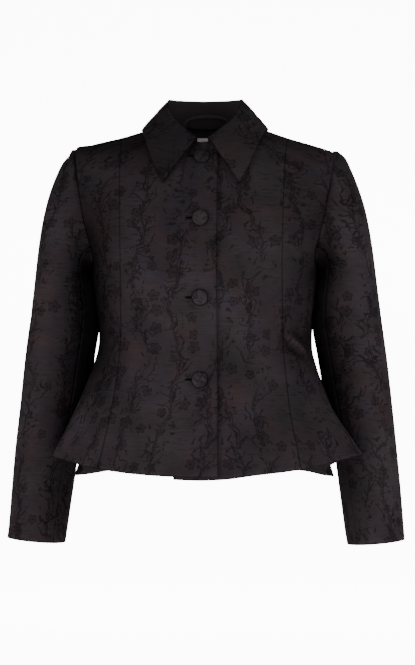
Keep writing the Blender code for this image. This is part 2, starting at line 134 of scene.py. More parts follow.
# Collar in mm: where its ends are flattened, its map, and the reach of the stand
COLLAR_FLATTENING = 5.0
COLLAR_FLAT_FROM = 50.0
COLLAR_FLAT_RUN = 30.0
COLLAR_FLAT_HEIGHT = 20.0
COLLAR_ROLL_RADIUS = 58.0
COLLAR_ROLL_HEIGHT = 46.0
COLLAR_MAP_RADIUS = 82.0
COLLAR_MAP_START = 1200.0
# Widens the collar's dark edge line and dip; the wider dark line is painted shade under the collar's edge
COLLAR_SEAM_AND_SHADE_GAIN = 0.55
STAND_REACH = 68.0

# Body plan that the cloth's grain runs round, an ellipse, in mm
PLAN_HALF_WIDTH = 168.0
PLAN_DEPTH = 115.0
CHEST_DEPTH = 86.0
ROOF_START = -80.0
ROOF_BLEND = 30.0
ROOF_GAIN = 0.66
OUT_FLATNESS = 0.8
WAIST_HEIGHT = -260.0

# Middle line of a sleeve in mm: z, x, y
SLEEVE_LINE = (
    (-635, 261, 20),
    (-515, 247.5, 28),
    (-422, 237, 20),
    (-342, 226, 9),
    (-298, 219.5, 6),
    (-235, 218, 4),
    (-120, 188, 0),
)
SLEEVE_RADIUS = 52.0
SLEEVE_SLANT = 1.02
SLEEVE_MAP_START = 500.0
PLAIN_SEAM_HEIGHTS = (-636.0, -212.0)

# Creases on the body: from angle and z, to angle and z, half width and depth in mm.
# The angle is in degrees from the middle of the front towards the wearer's left.
BODY_CREASES = (
    (59, -320, 71, -344, 4.5, -4.2),
    (58, -331, 69, -356, 4.5, 3.2),
    (63, -312, 74, -332, 4.5, 2.4),
    (62, -300, 74, -318, 6, 1.8),
    (-58, -322, -66, -340, 7, 1.6),
    (-70, -352, -62, -372, 8, -1.2),
    (72, -300, 60, -312, 7, 1.2),
    (-74, -296, -62, -310, 7, 1.4),
    (-63, -395, -67, -508, 12, 4.2),
    (-53, -430, -56, -512, 11, -2.2),
    (58, -410, 61, -505, 13, 3.2),
    (30, -420, 31, -520, 15, 2.2),
    (-30, -430, -33, -520, 15, 2.0),
    (-12, -400, -14, -520, 20, 0.9),
    (44, -200, 58, -228, 9, 1.2),
    (-46, -196, -60, -226, 9, 1.4),
    (-40, -150, -52, -196, 10, 0.9),
    (36, -60, 40, -120, 12, 0.9),
    (-34, -62, -40, -128, 12, 1.0),
    (112, -316, 128, -328, 8, 1.6),
    (-110, -318, -130, -326, 8, 1.5),
    (150, -300, 172, -306, 9, 1.3),
    (-148, -310, -170, -304, 8, 1.4),
    (140, -262, 158, -268, 11, 0.9),
    (-136, -270, -160, -262, 10, 1.0),
    (166, -420, 165, -530, 16, 1.6),
    (-163, -410, -166, -530, 16, 1.5),
    (120, -190, 132, -228, 10, 1.3),
    (-122, -186, -134, -230, 10, 1.2),
)

# Painted highlights on creases' ridges and painted shade in their troughs: place as above, gain of tone
CREASE_GLINTS = (
    (59, -320, 70, -342, 2.9, 1.2),
    (58, -332, 69, -357, 3.2, -0.6),
    (63, -311, 74, -332, 3.4, -0.6),
)

# Creases on a sleeve: side, from turn and z, to turn and z, half width and depth in mm.
# The turn is in degrees from the outermost line towards the front.
SLEEVE_CREASES = (
    (1, 96, -166, 122, -170, 5, 1.6),
    (1, 92, -158, 118, -204, 7, 1.8),
    (-1, 94, -160, 116, -200, 8, 1.6),
    (1, 20, -300, 80, -330, 10, 1.4),
    (1, 60, -352, 112, -340, 9, 1.8),
    (-1, 50, -330, 108, -352, 10, 1.7),
    (-1, 10, -290, 70, -310, 11, 1.2),
    (1, 74, -392, 120, -376, 9, 1.5),
    (-1, 70, -404, 118, -384, 10, 1.4),
    (1, -90, -330, -150, -350, 10, 1.6),
    (-1, -86, -336, -150, -330, 10, 1.6),
    (1, -70, -374, -140, -384, 10, 1.3),
    (-1, -74, -366, -140, -380, 10, 1.3),
    (1, 30, -500, 34, -600, 14, 1.0),
    (-1, 44, -470, 30, -590, 13, 1.1),
    (1, -60, -90, -84, -160, 10, 1.2),
    (-1, -58, -92, -86, -164, 10, 1.2),
)

# Fullness under the arm in mm: z, how far the body and the sleeve's inner side swell to each other
UNDERARM_FULLNESS = (
    (-440, 0.0, 0.0),
    (-390, 1.0, 4.0),
    (-340, 2.0, 3.5),
    (-300, 5.0, 5.0),
    (-262, 9.0, 8.0),
    (-235, 9.0, 8.0),
    (-216, 4.0, 3.0),
    (-205, 0.0, 0.0),
)

# How far the cloth rises near the tip of the shoulder, in mm: distance from the middle, rise
SHOULDER_TIP_RISE = ((176, 0.0), (190, 3.0), (199, 7.0), (206, 7.0))
SLEEVE_HEAD_RISE = ((197, 6.5), (202, 5.0), (208, -0.5), (213, 0.5), (221, 4.0), (232, 2.0), (246, 0.0))
LEFT_TIP_RISE = ((176, 0.0), (190, 0.5), (199, 2.0), (206, 2.0))
LEFT_HEAD_RISE = (
    (195, 7.0),
    (202, 7.5),
    (205, 5.0),
    (207, 3.5),
    (212, 7.0),
    (217, 8.0),
    (232, 3.5),
    (246, 0.0),
)

# Heights in mm over which that rise comes in
TIP_HEIGHTS = ((-88, -48), (0.0, 1.0))

# How the left sleeve's head is tucked over the shoulder's edge, in mm
LEFT_HEAD_TUCK = 4.5
TUCK_END = 214.0
TUCK_RUN = 10.0

# The lower left shoulder, in mm: drop, and where it comes in outwards and upwards
LEFT_DROP = 7.0
DROP_REACH = ((90, 200), (0.0, 1.0))
DROP_HEIGHTS = ((-130, -60), (0.0, 1.0))

# How far the sleeves stand out below the elbow, in mm
LEFT_SLEEVE_SPREAD = 2.0
RIGHT_SLEEVE_SPREAD = 5.5
SPREAD_HEIGHTS = ((-500, -250), (1.0, 0.0))
SPREAD_LEAST = 0.35

# The peplum's back flute on the right and front corner on the left: degrees and mm
PEPLUM_HEIGHTS = ((-530, -430), (1.0, 0.0))
FLUTE_TURN = 118.0
FLUTE_SPREAD = 24.0
FLUTE_SHIFT = 16.0
CORNER_TURN = 76.0
CORNER_SPREAD = 17.0
CORNER_SHIFT = 17.0
CORNER_LIFT = 6.0
FULLNESS_TURN = 104.0
FULLNESS_SPREAD = 26.0

# Covered buttons: shift of the cloth's map from one to the next in mm, gain of the distance to the rim,
# which widens the dark painted shade round the rim and the dip
BUTTON_MAP_SHIFT = (137.0, 55.0)
BUTTON_RIM_SHADE_AND_DIP_GAIN = 0.7

# Worked buttonholes, in metres, with shares for the slit and the round ends
HOLE_HALF_LENGTH = 14.0 * MM
HOLE_HALF_WIDTH = 1.7 * MM
HOLE_OFFSET = 8.5 * MM
HOLE_LIFT = 0.7 * MM
HOLE_CLEARANCE = 0.1 * MM
HOLE_SLIT_DEPTH = 0.75
HOLE_SLIT_WIDTH = 0.28
HOLE_END_WIDTH = 0.04
HOLE_COLUMNS = 28
HOLE_ROWS = 6

# Colours of the finishes, as sRGB
GROUND = "322e34"
GROUND_WARM = "392f30"
GROUND_GREY = "332f31"
FIGURE = "1f1a1c"
LINING = "2f2b2c"
THREAD = "0c0a0b"
CORD = "2e292b"
LABEL = "fbeeea"
PAPER = "ffffff"

# Brocade design, in mm. Noise scales are per mm.
TRUNK_SPACING = 52.0
TRUNK_SCATTER = 18.0
TRUNK_SWAY = 7.0
TRUNK_SWAY_LENGTH = 190.0
TRUNK_HALF_WIDTH = 1.5
COLUMN_SHIFT = 300.0
LINE_WIDTH = 0.6
LINE_SOFTNESS = 0.5
WANDER = (0.021, 2.0, 50.0)
TREMBLE = (0.11, 1.0, 7.0)
GROWTH_SCALE = 0.017
GROWTH_RANGE = (0.36, 0.43)
BLOSSOM_GRID = 27.0
BLOSSOM_RADIUS = 9.0
BLOSSOM_RARITY = 0.68
PETALS = 5
PETAL_FILL = 0.42
PETAL_RIM_WIDTH = 0.7
PETAL_NOTCH = 0.55
VEIN_DEPTH = 0.3
HEART_RADIUS = 1.6
LEAF_GRID = 9.5
LEAF_RADIUS = 3.1
LEAF_RARITY = 0.4
LEAF_REACH = 17.0
LEAF_SQUEEZE = (2.3, 0.85, 0.0)
LEAF_STRENGTH = 0.8

# Shares in the figure, given as gain and offset where there are two
TWIG_LENGTHS = (1.7, -0.6)
BLOSSOM_SCATTER = 0.75
BLOSSOM_TWIST = 9.0
BLOSSOM_SIZES = (0.35, 0.7)
PETAL_ROUNDNESS = 0.6
PETAL_SHAPE = (0.62, 0.38)
PETAL_EDGE = (1.2, 0.3)
LEAF_SCATTER = 0.9
LEAF_TILTS = (2.4, -1.2)
LEAF_EDGE = (1.0, 0.4)

# The woven ground: sizes across and along in mm, noise scales per mm
STREAK_SIZE = (26.0, 2.2)
THREAD_SIZE = (1.6, 1.1)
DASH_SIZE = (15.0, 3.4)
PATCH_SCALE = 0.014
HUE_SCALE = 0.019
GREY_SCALE = 0.012
QUILT_SCALE = 0.024
DASH_STRENGTH = 0.55
CHEST_DASH_HEIGHTS = (-260.0, -150.0)
CHEST_DASH_GAIN = 0.09
DASH_RANGE = (0.56, 0.68)
QUILT_RANGE = (0.45, 0.6)
HUE_RANGE = (0.35, 0.65)
GREY_RANGE = (0.42, 0.62)

# How the noises change the ground's tone, as gain and offset, and its height, as shares of 1 mm
STREAK_TONE = 0.6
PATCH_TONE = (1.1, 0.45)
THREAD_TONE = (0.35, 0.83)
FIGURE_HEIGHT = -0.16
STREAK_HEIGHT = 0.22
THREAD_HEIGHT = 0.10
WEAVE_BUMP = 0.8
GROUND_ROUGHNESS = 0.56
FIGURE_ROUGHNESS = 0.1

# Seams and edges: where the dark line ends and how dark it is, how wide and deep the dip is, in metres. The
# dark line is the seams' own dark join, and painted shade along the cloth's free edges.
SEAM_LINE = (0.0002, 0.0016)
SEAM_AND_EDGE_SHADE_TONE = 0.55
SEAM_DIP_WIDTH = 0.0035
SEAM_DIP = 0.5

# Twigs that leave the trunks: spacing up the trunk, slope, length, width
TWIGS = (
    (43.0, 1.3, 24.0, 0.75),
    (61.0, 2.3, 20.0, 0.65),
    (34.0, 0.2, 21.0, 0.6),
    (23.0, 0.6, 12.0, 0.6),
    (17.0, 1.7, 9.0, 0.55),
    (29.0, -0.5, 17.0, 0.5),
)


def linear(hex_colour):
    """An sRGB hex colour as linear red, green, blue and alpha."""
    channels = [int(hex_colour[i : i + 2], 16) / 255 for i in (0, 2, 4)]
    return [c / 12.92 if c <= 0.04045 else ((c + 0.055) / 1.055) ** 2.4 for c in channels] + [1.0]


def add_node(tree, kind, inputs=(), output=0, **settings):
    """Adds a node with its settings, feeds its inputs with values or sockets and returns an output."""
    node = tree.nodes.new(kind)
    for name, value in settings.items():
        setattr(node, name, value)
    pairs = inputs.items() if isinstance(inputs, dict) else enumerate(inputs)
    for key, value in pairs:
        if isinstance(value, bpy.types.NodeSocket):
            tree.links.new(value, node.inputs[key])
        elif value is not None:
            node.inputs[key].default_value = value
    return None if output is None else node.outputs[output]


def new_material(name):
    material = bpy.data.materials.new(name)
    material.use_nodes = True
    tree = material.node_tree
    tree.nodes.clear()
    return material, tree


def finish_material(tree, settings):
    shader = add_node(tree, "ShaderNodeBsdfPrincipled", settings)
    add_node(tree, "ShaderNodeOutputMaterial", {"Surface": shader}, output=None)


def brocade_design(tree, place):
    """The woven figure, 1 on branches, leaves and blossoms and 0 on the ground. Place is in mm."""

    def math_node(operation, *inputs, clamp=False):
        return add_node(tree, "ShaderNodeMath", inputs, operation=operation, use_clamp=clamp)

    def band(distance, width):
        inside = math_node("MULTIPLY_ADD", distance, -1 / LINE_SOFTNESS, width / LINE_SOFTNESS + 0.5)
        return math_node("SMOOTH_MIN", inside, 1.0, 0.0)

    def drift(scale, detail, reach):
        """Moves of up to half the reach, in all directions."""
        clouds = {"Vector": place, "Scale": scale, "Detail": detail}
        move = add_node(tree, "ShaderNodeTexNoise", clouds, output=1)
        move = add_node(tree, "ShaderNodeVectorMath", (move, (0.5, 0.5, 0.5)), operation="SUBTRACT")
        return add_node(tree, "ShaderNodeVectorMath", {0: move, "Scale": reach}, operation="SCALE")

    warped = add_node(tree, "ShaderNodeVectorMath", (place, drift(*WANDER)), operation="ADD")
    warped = add_node(tree, "ShaderNodeVectorMath", (warped, drift(*TREMBLE)), operation="ADD")
    across = add_node(tree, "ShaderNodeSeparateXYZ", (warped,))
    up = across.node.outputs[1]
    column = math_node("FLOOR", math_node("DIVIDE", across, TRUNK_SPACING))
    shift = add_node(tree, "ShaderNodeTexWhiteNoise", {"W": column}, noise_dimensions="1D")
    height = math_node("MULTIPLY_ADD", shift, COLUMN_SHIFT, up)
    local = math_node("MULTIPLY_ADD", column, -TRUNK_SPACING, across)
    sway = math_node("SINE", math_node("MULTIPLY", height, 2 * math.pi / TRUNK_SWAY_LENGTH))
    place_off = math_node("MULTIPLY_ADD", shift, TRUNK_SCATTER, (TRUNK_SPACING - TRUNK_SCATTER) / 2)
    middle = math_node("MULTIPLY_ADD", sway, TRUNK_SWAY, place_off)
    side = math_node("SUBTRACT", local, middle)
    reach = math_node("ABSOLUTE", side)
    bark = math_node("ABSOLUTE", math_node("SUBTRACT", reach, TRUNK_HALF_WIDTH))
    figure = band(bark, LINE_WIDTH)
    right = math_node("GREATER_THAN", side, 0.0)
    for spacing, slope, length, width in TWIGS:
        rise = math_node("MULTIPLY_ADD", reach, -slope, height)
        rise = math_node("MULTIPLY_ADD", right, spacing / 2, rise)
        turns = math_node("DIVIDE", rise, spacing)
        off = math_node("ABSOLUTE", math_node("SUBTRACT", math_node("FRACT", turns), 0.5))
        gap = math_node("MULTIPLY", off, spacing / math.hypot(1.0, slope))
        lengths = add_node(
            tree,
            "ShaderNodeTexWhiteNoise",
            {"Vector": add_node(tree, "ShaderNodeCombineXYZ", (math_node("FLOOR", turns), column, right))},
            noise_dimensions="3D",
        )
        end = math_node("MULTIPLY_ADD", lengths, length * TWIG_LENGTHS[0], length * TWIG_LENGTHS[1])
        twig = math_node("MULTIPLY", band(gap, width), math_node("LESS_THAN", reach, end))
        figure = math_node("MAXIMUM", figure, twig)
    growth = add_node(tree, "ShaderNodeTexNoise", {"Vector": place, "Scale": GROWTH_SCALE, "Detail": 1.0})
    least, most = GROWTH_RANGE
    growth = add_node(tree, "ShaderNodeMapRange", {"Value": growth, "From Min": least, "From Max": most})
    figure = math_node("MULTIPLY", figure, growth)

    blossom_place = add_node(
        tree, "ShaderNodeVectorMath", {0: place, "Scale": 1 / BLOSSOM_GRID}, operation="SCALE"
    )
    cells = add_node(
        tree,
        "ShaderNodeTexVoronoi",
        {"Vector": blossom_place, "Scale": 1.0, "Randomness": BLOSSOM_SCATTER},
        voronoi_dimensions="2D",
    ).node
    spoke = add_node(
        tree, "ShaderNodeVectorMath", (blossom_place, cells.outputs["Position"]), operation="SUBTRACT"
    )
    spoke_x = add_node(tree, "ShaderNodeSeparateXYZ", (spoke,))
    spoke_y = spoke_x.node.outputs[1]
    luck = add_node(tree, "ShaderNodeSeparateXYZ", (cells.outputs["Color"],))
    size = luck.node.outputs[1]
    twist = math_node("MULTIPLY", size, BLOSSOM_TWIST)
    turn = math_node("MULTIPLY_ADD", math_node("ARCTAN2", spoke_y, spoke_x), PETALS / 2, twist)
    petal = math_node("ABSOLUTE", math_node("COSINE", turn))
    petal = math_node("MULTIPLY_ADD", math_node("POWER", petal, PETAL_ROUNDNESS), *PETAL_SHAPE)
    more, least_size = BLOSSOM_SIZES
    reach_out = math_node("MULTIPLY_ADD", size, more * BLOSSOM_RADIUS, least_size * BLOSSOM_RADIUS)
    radius = math_node("MULTIPLY", petal, reach_out)
    distance = math_node("MULTIPLY", cells.outputs["Distance"], BLOSSOM_GRID)
    inside = math_node("SUBTRACT", radius, distance)
    petals = math_node("MULTIPLY_ADD", inside, *PETAL_EDGE, clamp=True)
    rim = band(math_node("ABSOLUTE", inside), PETAL_RIM_WIDTH)
    vein = math_node("MULTIPLY", math_node("LESS_THAN", petal, PETAL_NOTCH), petals)
    petals = math_node("MULTIPLY", petals, PETAL_FILL)
    petals = math_node("MAXIMUM", petals, rim)
    petals = math_node("SUBTRACT", petals, math_node("MULTIPLY", vein, VEIN_DEPTH))
    petals = math_node("MAXIMUM", petals, band(distance, HEART_RADIUS))
    petals = math_node("MULTIPLY", petals, math_node("GREATER_THAN", luck, BLOSSOM_RARITY))
    figure = math_node("MAXIMUM", figure, petals)

    leaf_place = add_node(
        tree, "ShaderNodeVectorMath", {0: warped, "Scale": 1 / LEAF_GRID}, operation="SCALE"
    )
    leaves = add_node(
        tree,
        "ShaderNodeTexVoronoi",
        {"Vector": leaf_place, "Scale": 1.0, "Randomness": LEAF_SCATTER},
        voronoi_dimensions="2D",
    ).node
    stalk = add_node(
        tree, "ShaderNodeVectorMath", (leaf_place, leaves.outputs["Position"]), operation="SUBTRACT"
    )
    leaf_luck = add_node(tree, "ShaderNodeSeparateXYZ", (leaves.outputs["Color"],))
    tilt = math_node("MULTIPLY_ADD", leaf_luck.node.outputs[1], *LEAF_TILTS)
    turned = add_node(
        tree,
        "ShaderNodeVectorRotate",
        {"Vector": stalk, "Angle": tilt},
        rotation_type="Z_AXIS",
    )
    slim = add_node(tree, "ShaderNodeVectorMath", (turned, LEAF_SQUEEZE), operation="MULTIPLY")
    blade = add_node(tree, "ShaderNodeVectorMath", (slim,), output=1, operation="LENGTH")
    blade = math_node("SUBTRACT", LEAF_RADIUS, math_node("MULTIPLY", blade, LEAF_GRID))
    blade = math_node("MULTIPLY_ADD", blade, *LEAF_EDGE, clamp=True)
    near = math_node("LESS_THAN", reach, LEAF_REACH)
    chosen = math_node("MULTIPLY", near, math_node("GREATER_THAN", leaf_luck, LEAF_RARITY))
    blade = math_node("MULTIPLY", math_node("MULTIPLY", blade, chosen), LEAF_STRENGTH)
    figure = math_node("MAXIMUM", figure, blade)
    return math_node("MAXIMUM", figure, 0.0, clamp=True)


def brocade_material(name, painted_light_gain, contrast=1.0):
    """Jacquard brocade of black polyester and viscose: a satin ground with faint weft streaks, and a
    branch and blossom figure woven flat into it, a shade darker. It has no specular reflection,
    because the lit backdrop made white rims on cloth seen at a slant."""
    material, tree = new_material(name)
    cloth = add_node(tree, "ShaderNodeUVMap", uv_map="cloth")
    place = add_node(tree, "ShaderNodeVectorMath", {0: cloth, "Scale": 1000.0}, operation="SCALE")
    figure = brocade_design(tree, place)

    def stretched_noise(size, detail, **settings):
        """Noise whose spots have the given size across and along the cloth, in mm."""
        scale = (1 / size[0], 1 / size[1], 1.0)
        where = add_node(tree, "ShaderNodeVectorMath", (place, scale), operation="MULTIPLY")
        inputs = {"Vector": where, "Scale": 1.0, "Detail": detail, **settings}
        return add_node(tree, "ShaderNodeTexNoise", inputs)

    def cloud_noise(scale, detail, **settings):
        inputs = {"Vector": place, "Scale": scale, "Detail": detail, **settings}
        return add_node(tree, "ShaderNodeTexNoise", inputs)

    def math_node(operation, *inputs, clamp=False):
        return add_node(tree, "ShaderNodeMath", inputs, operation=operation, use_clamp=clamp)

    def ramp(value, start, end, low=0.0, high=1.0):
        inputs = {"Value": value, "From Min": start, "From Max": end, "To Min": low, "To Max": high}
        return add_node(tree, "ShaderNodeMapRange", inputs)

    def mixed(share, first, second):
        return add_node(
            tree, "ShaderNodeMix", {0: share, 6: first, 7: second}, output=2, data_type="RGBA"
        )

    streaks = stretched_noise(STREAK_SIZE, 3.0, Roughness=0.65)
    threads = stretched_noise(THREAD_SIZE, 1.0)
    patches = cloud_noise(PATCH_SCALE, 3.0)
    tone = math_node("MULTIPLY_ADD", math_node("SUBTRACT", streaks, 0.5), STREAK_TONE, 1.0)
    # The gain is painted light: below 1 it darkens this copy as painted shade, above 1 it lightens it
    patch_tone = [painted_light_gain * share for share in PATCH_TONE]
    tone = math_node("MULTIPLY", tone, math_node("MULTIPLY_ADD", patches, *patch_tone))
    tone = math_node("MULTIPLY", tone, math_node("MULTIPLY_ADD", threads, *THREAD_TONE))

    dashes = ramp(stretched_noise(DASH_SIZE, 1.5), *DASH_RANGE)
    up = add_node(tree, "ShaderNodeSeparateXYZ", (place,), output=1)
    chest = ramp(up, *CHEST_DASH_HEIGHTS, high=CHEST_DASH_GAIN)
    quilt = ramp(math_node("ADD", cloud_noise(QUILT_SCALE, 1.0), chest), *QUILT_RANGE)
    dashes = math_node("MULTIPLY", dashes, quilt)
    figure = math_node("MULTIPLY_ADD", dashes, DASH_STRENGTH, figure, clamp=True)
    figure = math_node("MULTIPLY", figure, contrast)

    hues = ramp(cloud_noise(HUE_SCALE, 4.0, Roughness=0.6), *HUE_RANGE)
    greys = ramp(cloud_noise(GREY_SCALE, 2.0), *GREY_RANGE)
    ground = mixed(greys, mixed(hues, linear(GROUND), linear(GROUND_WARM)), linear(GROUND_GREY))
    colour = mixed(figure, ground, linear(FIGURE))
    colour = add_node(tree, "ShaderNodeVectorMath", {0: colour, "Scale": tone}, operation="SCALE")

    seam = add_node(tree, "ShaderNodeAttribute", output=2, attribute_name="seam")
    line_start, line_end = SEAM_LINE
    # Dark line of the seams, and painted shade along the free edges of the cloth
    edge = add_node(
        tree,
        "ShaderNodeMapRange",
        {"Value": seam, "From Min": line_start, "From Max": line_end, "To Min": SEAM_AND_EDGE_SHADE_TONE, "To Max": 1.0},
        interpolation_type="SMOOTHSTEP",
    )
    # Painted light and shade, stored for each point
    shade = add_node(tree, "ShaderNodeAttribute", output=2, attribute_name="shade")
    edge = math_node("MULTIPLY", edge, shade)
    colour = add_node(tree, "ShaderNodeVectorMath", {0: colour, "Scale": edge}, operation="SCALE")
    dip = add_node(
        tree,
        "ShaderNodeMapRange",
        {"Value": seam, "From Min": 0.0, "From Max": SEAM_DIP_WIDTH, "To Min": 0.0, "To Max": SEAM_DIP},
        interpolation_type="SMOOTHSTEP",
    )
    height = math_node("MULTIPLY_ADD", figure, FIGURE_HEIGHT, dip)
    height = math_node("MULTIPLY_ADD", streaks, STREAK_HEIGHT, height)
    height = math_node("MULTIPLY_ADD", threads, THREAD_HEIGHT, height)
    bump = add_node(tree, "ShaderNodeBump", {"Strength": WEAVE_BUMP, "Distance": MM, "Height": height})
    finish_material(tree, {
        "Base Color": colour,
        "Roughness": math_node("MULTIPLY_ADD", figure, FIGURE_ROUGHNESS, GROUND_ROUGHNESS),
        "Specular IOR Level": 0.0,
        "Normal": bump,
    })
    return material


def lining_material():
    """Acetate satin lining, smooth and black, with no specular reflection, for the same reason."""
    material, tree = new_material("acetate_satin_lining")
    where = add_node(tree, "ShaderNodeTexCoord", output=3)
    folds = add_node(tree, "ShaderNodeTexNoise", {"Vector": where, "Scale": 26.0, "Detail": 2.0})
    twill = add_node(tree, "ShaderNodeTexNoise", {"Vector": where, "Scale": 900.0, "Detail": 1.0})
    height = add_node(tree, "ShaderNodeMath", (twill, 0.08, folds), operation="MULTIPLY_ADD")
    bump = add_node(tree, "ShaderNodeBump", {"Strength": 0.35, "Distance": 0.002, "Height": height})
    finish_material(tree, {
        "Base Color": linear(LINING),
        "Roughness": 0.5,
        "Specular IOR Level": 0.0,
        "Normal": bump,
    })
    return material


def cord_material():
    """Satin rouleau cord of the hanger loop, a shade lighter than the lining."""
    material, tree = new_material("satin_rouleau")
    where = add_node(tree, "ShaderNodeTexCoord", output=3)
    twist = add_node(tree, "ShaderNodeTexNoise", {"Vector": where, "Scale": 700.0, "Detail": 1.0})
    bump = add_node(tree, "ShaderNodeBump", {"Strength": 0.3, "Distance": 0.0004, "Height": twist})
    finish_material(tree, {
        "Base Color": linear(CORD),
        "Roughness": 0.5,
        "Specular IOR Level": 0.2,
        "Normal": bump,
    })
    return material


def label_material():
    """Woven satin ribbon, off-white with a pink cast, with fine cross ribs."""
    material, tree = new_material("woven_satin_ribbon")
    where = add_node(tree, "ShaderNodeTexCoord", output=3)
    ribs = add_node(
        tree,
        "ShaderNodeTexWave",
        {"Vector": where, "Scale": 420.0, "Distortion": 0.6},
        output=1,
        bands_direction="Z",
    )
    bump = add_node(tree, "ShaderNodeBump", {"Strength": 0.3, "Distance": 0.0004, "Height": ribs})
    finish_material(tree, {"Base Color": linear(LABEL), "Roughness": 0.5, "Normal": bump})
    return material


def thread_material():
    """Black polyester buttonhole twist, nearly matt, raised on each stitch."""
    material, tree = new_material("buttonhole_twist")
    where = add_node(tree, "ShaderNodeTexCoord", output=3)
    stitches = add_node(
        tree,
        "ShaderNodeTexWave",
        {"Vector": where, "Scale": 300.0, "Distortion": 1.0},
        output=1,
        bands_direction="X",
    )
    bump = add_node(tree, "ShaderNodeBump", {"Strength": 0.7, "Distance": 0.0006, "Height": stitches})
    finish_material(tree, {
        "Base Color": linear(THREAD),
        "Roughness": 0.7,
        "Specular IOR Level": 0.05,
        "Normal": bump,
    })
    return material


def paper_material():
    """Matt white paper, lit from behind where it is far from the blazer."""
    material, tree = new_material("white_paper_backdrop")
    where = add_node(tree, "ShaderNodeTexCoord", output=3)
    depth = add_node(tree, "ShaderNodeSeparateXYZ", (where,)).node.outputs[1]
    lit = add_node(
        tree,
        "ShaderNodeMapRange",
        {"Value": depth, "From Min": GLOW_FROM, "From Max": GLOW_FULL, "To Max": BACKDROP_GLOW},
        interpolation_type="SMOOTHSTEP",
    )
    finish_material(tree, {
        "Base Color": linear(PAPER),
        "Roughness": 0.9,
        "Emission Color": linear(PAPER),
        "Emission Strength": lit,
    })
    return material


def merged_copy(node, rim_angle):
    """A node's closed wall as a bmesh of quads, with the rims of the wall creased."""
    bm = bmesh.new()
    bm.from_mesh(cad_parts[node].data)
    bmesh.ops.remove_doubles(bm, verts=bm.verts, dist=MERGE)
    bmesh.ops.recalc_face_normals(bm, faces=bm.faces)
    bmesh.ops.join_triangles(
        bm,
        faces=bm.faces,
        angle_face_threshold=math.radians(FLAT_ANGLE),
        angle_shape_threshold=math.radians(SHAPE_ANGLE),
    )
    crease = bm.edges.layers.float.new("crease_edge")
    for edge in bm.edges:
        if len(edge.link_faces) == 2 and edge.calc_face_angle() > math.radians(rim_angle):
            edge[crease] = 1.0
    return bm


def smooth_cloth(node, name, levels=SMOOTH_LEVELS, rim_angle=RIM_ANGLE):
    """A fine, smooth mesh on a node's form, sharp at the wall's rims."""
    bm = merged_copy(node, rim_angle)
    coarse = bpy.data.meshes.new(name + "_coarse")
    bm.to_mesh(coarse)
    bm.free()
    guide = bpy.data.objects.new(name + "_coarse", coarse)
    bpy.context.scene.collection.objects.link(guide)
    smooth = guide.modifiers.new("Smooth", "SUBSURF")
    smooth.levels = levels
    smooth.render_levels = levels
    depsgraph = bpy.context.evaluated_depsgraph_get()
    mesh = bpy.data.meshes.new_from_object(guide.evaluated_get(depsgraph))
    bpy.data.objects.remove(guide, do_unlink=True)
    bpy.data.meshes.remove(coarse)
    mesh.name = name
    return mesh


def rim_distances(mesh):
    """The distance of every point of a mesh to the sharp rims of the wall."""
    bm = bmesh.new()
    bm.from_mesh(mesh)
    rims = set()
    for edge in bm.edges:
        if len(edge.link_faces) == 2 and edge.calc_face_angle() > math.radians(RIM_ANGLE):
            rims.update(vert.index for vert in edge.verts)
    tree = KDTree(len(rims))
    for number, index in enumerate(rims):
        tree.insert(mesh.vertices[index].co, number)
    tree.balance()
    bm.free()
    return np.array([tree.find(vert.co)[2] for vert in mesh.vertices])


def widen_edges(mesh, points, distances):
    """Pushes the wall's edge faces outwards, so that panels meet at their seams with no light between."""
    push = np.zeros_like(points)
    for face in mesh.polygons:
        corners = list(face.vertices)
        if distances[corners].max() < EDGE_FACE_REACH:
            push[corners] += face.normal
    length = np.linalg.norm(push, axis=1, keepdims=True)
    points += EDGE_PUSH * push / np.maximum(length, 1e-9)


def points_of(mesh):
    points = np.empty(len(mesh.vertices) * 3)
    mesh.vertices.foreach_get("co", points)
    return points.reshape(-1, 3) / MM


def plan_table():
    turns = np.linspace(-math.pi, math.pi, 721)
    radius = 1 / np.hypot(np.sin(turns) / PLAN_HALF_WIDTH, np.cos(turns) / PLAN_DEPTH)
    x = radius * np.sin(turns)
    y = -radius * np.cos(turns)
    steps = np.hypot(np.diff(x), np.diff(y))
    along = np.concatenate([[0.0], np.cumsum(steps)])
    return turns, along - along[len(turns) // 2], radius


PLAN_TURNS, PLAN_ALONG, PLAN_RADIUS = plan_table()


def body_grain(points):
    """Angle round the body, distance round it, height along the cloth, and outward directions."""
    x, y, z = points.T
    turn = np.arctan2(x, -y)
    along = np.interp(turn, PLAN_TURNS, PLAN_ALONG)
    roof = np.clip((z - ROOF_START) / ROOF_BLEND, 0.0, 1.0)
    height = z + ROOF_GAIN * np.clip(CHEST_DEPTH - np.abs(y), 0.0, None) * roof
    out = np.column_stack([x * OUT_FLATNESS, y, np.zeros_like(x)])
    out /= np.linalg.norm(out, axis=1, keepdims=True)
    return turn, along, height, out


def sleeve_grain(points, side):
    z_line, x_line, y_line = np.array(SLEEVE_LINE, dtype=float).T
    x, y, z = points.T
    away_x = x * side - np.interp(z, z_line, x_line)
    away_y = y - np.interp(z, z_line, y_line)
    turn = np.arctan2(-away_y, away_x)
    out = np.column_stack([away_x * side, away_y, np.zeros_like(x)])
    out /= np.linalg.norm(out, axis=1, keepdims=True)
    return turn, turn * SLEEVE_RADIUS, z * SLEEVE_SLANT, out


def raise_shoulder(points, rises):
    """Lifts the cloth near the tip of the shoulder, so that a round sleeve head meets it."""
    reach, rise = np.array(rises).T
    high = np.interp(points[:, 2], *TIP_HEIGHTS)
    points[:, 2] += high * np.interp(np.abs(points[:, 0]), reach, rise, left=0.0)
    return high


def drop_shoulder(points):
    """The wearer's left shoulder sits a little lower than the right."""
    left = np.interp(points[:, 0], *DROP_REACH)
    high = np.interp(points[:, 2], *DROP_HEIGHTS)
    points[:, 2] -= LEFT_DROP * left * high


